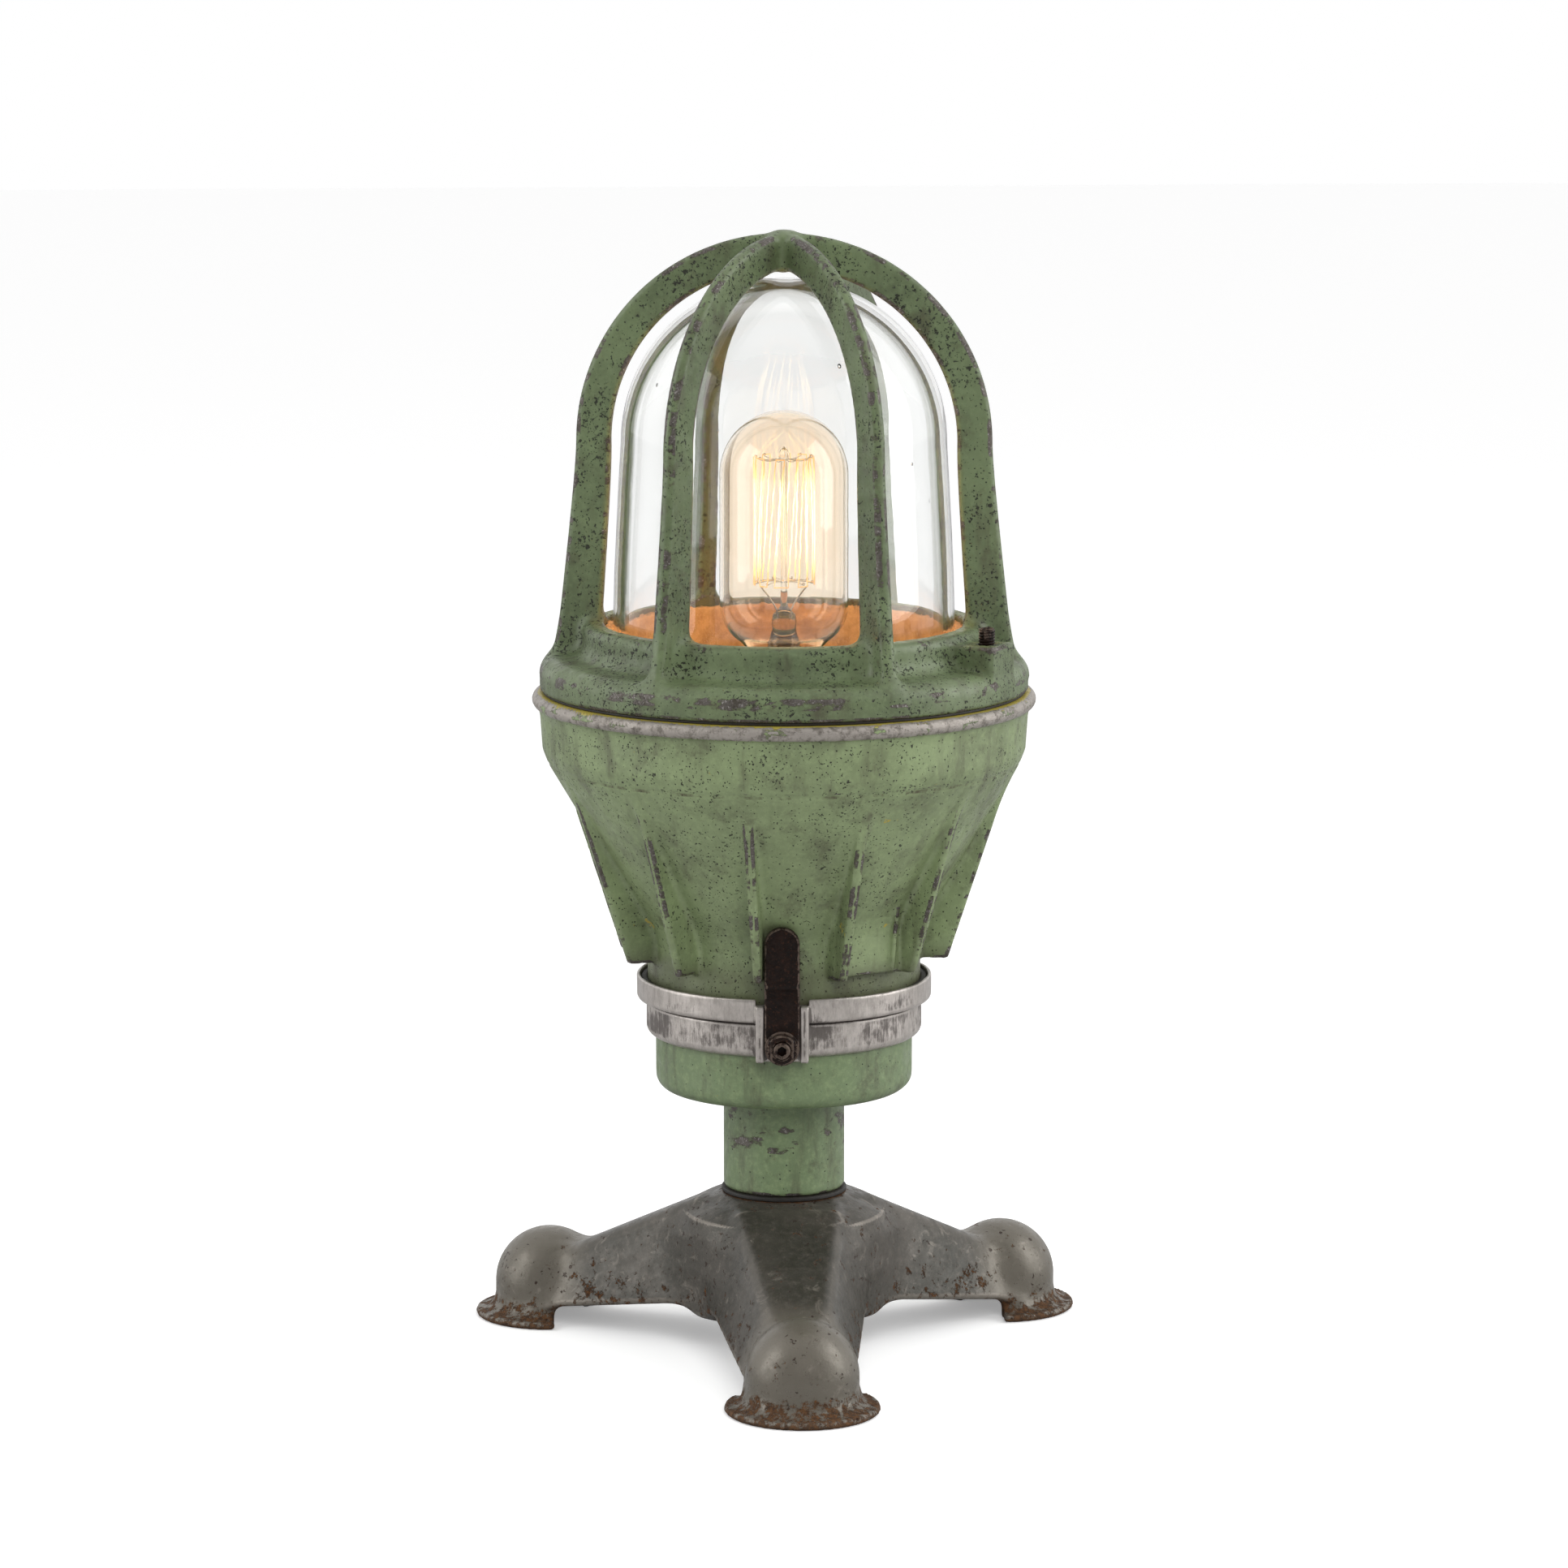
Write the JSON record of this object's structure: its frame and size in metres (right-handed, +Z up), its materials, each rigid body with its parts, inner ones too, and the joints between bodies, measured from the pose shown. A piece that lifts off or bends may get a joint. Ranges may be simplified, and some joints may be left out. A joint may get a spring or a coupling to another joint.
{
  "type": "caged explosion-proof table lamp",
  "caption": "Explosion-proof lamp head with a ribbed screw-on guard and glass globe, on a short pipe stem and a cast iron three-leg base.",
  "frame": {"origin": "on the floor under the stem axis, level with the flat undersides of the three feet", "axes": "+Z up along the stem and globe axis, -Y towards the front leg and the latch, +X to the right seen from the front"},
  "size_m": [0.2172, 0.2094, 0.3946],
  "materials": {
    "green_paint": "worn satin enamel with chips and pits",
    "guard_paint": "worn matt enamel with dense fine pits",
    "cast_iron": "burnished, rust in the crevices",
    "turned_aluminium": "turned, with dark streaks",
    "sheet_aluminium": "dull",
    "rusty_steel": "dark brown rust",
    "plated_steel": "satin",
    "black_rubber": "matt",
    "brass": "satin",
    "porcelain": "gloss",
    "cement": "matt",
    "clear_glass": "clear, thick",
    "amber_glass": "clear amber",
    "black_glass": "gloss",
    "lit_filament": "glowing",
    "brown_wire": "matt",
    "blue_wire": "matt",
    "green_wire": "matt"
  },
  "bodies": {
    "lamp_body": {"base_casting": "cast_iron", "base_washer": "plated_steel", "base_locknut": "plated_steel", "cord_bush": "black_rubber", "stem_seat_washer": "black_rubber", "stem_tube": "green_paint", "stem_nipple": "plated_steel", "cup_locknut": "plated_steel", "junction_cup": "green_paint", "collar": "turned_aluminium", "collar_gasket": "black_rubber", "latch_stud": "rusty_steel", "bowl_housing": "green_paint", "mounting_plate": "sheet_aluminium", "plate_screws": "plated_steel", "lampholder_body": "porcelain", "holder_screws": "plated_steel", "screw_shell": "brass", "plunger_spring": "plated_steel", "terminal_block": "porcelain", "terminal_screws": "brass", "live_wire": "brown_wire", "neutral_wire": "blue_wire", "earth_wire": "green_wire", "earth_screw": "brass", "supply_cord": "black_rubber", "cord_grip": "black_rubber"},
    "guard_seal": {"rim_gasket": "black_rubber"},
    "guard_assembly": {"guard": "guard_paint", "globe_cement": "cement", "globe": "clear_glass"},
    "lock_tip": {"lock_screw_tip": "brass"},
    "lock_screw_body": {"lock_screw": "rusty_steel"},
    "centre_contact": {"contact_plunger": "brass"},
    "bulb": {"bulb_cap": "brass", "bulb_insulator": "black_glass", "bulb_contact": "brass", "bulb_glass": "amber_glass", "bulb_stem": "clear_glass", "filament": "lit_filament", "filament_supports": "plated_steel"},
    "strap": {"latch_strap": "rusty_steel", "latch_washer": "rusty_steel"},
    "strap_nut": {"latch_nut": "rusty_steel"}
  },
  "joints": [
    {"name": "guard_lift", "type": "slide", "parent": "lamp_body", "child": "guard_seal", "axis": [0, 0, 1], "range_m": [0, 0.0136]},
    {"name": "guard_turn", "type": "hinge", "parent": "guard_seal", "child": "guard_assembly", "pos_m": [0, 0, 0.236], "axis": [0, 0, 1], "range_deg": [0, 1620]},
    {"name": "lock_screw_rise", "type": "slide", "parent": "guard_assembly", "child": "lock_tip", "axis": [0, 0, 1], "range_m": [0, 0.006]},
    {"name": "lock_screw_turn", "type": "hinge", "parent": "lock_tip", "child": "lock_screw_body", "pos_m": [0.0672, -0.04038, 0.25], "axis": [0, 0, 1], "range_deg": [0, 2161]},
    {"name": "contact_follow", "type": "slide", "parent": "lamp_body", "child": "centre_contact", "axis": [0, 0, 1], "range_m": [0, 0.0055]},
    {"name": "bulb_turn", "type": "hinge", "parent": "centre_contact", "child": "bulb", "pos_m": [0, 0, 0.235], "axis": [0, 0, 1], "range_deg": [0, 540]},
    {"name": "strap_release", "type": "slide", "parent": "lamp_body", "child": "strap", "axis": [-0.0785, -0.9969, 0], "range_m": [0, 0.0045]},
    {"name": "strap_nut_turn", "type": "hinge", "parent": "strap", "child": "strap_nut", "pos_m": [-0.00392, -0.04985, 0.1176], "axis": [-0.0785, -0.9969, 0], "range_deg": [0, 1621]}
  ],
  "couplings": [
    {"joint": "guard_lift", "follows": "guard_turn", "m_per_rad": 0.00047746},
    {"joint": "lock_screw_turn", "follows": "lock_screw_rise", "rad_per_m": 6283.2},
    {"joint": "contact_follow", "follows": "bulb_turn", "m_per_rad": 0.00057773},
    {"joint": "strap_nut_turn", "follows": "strap_release", "rad_per_m": 6283.2}
  ]
}
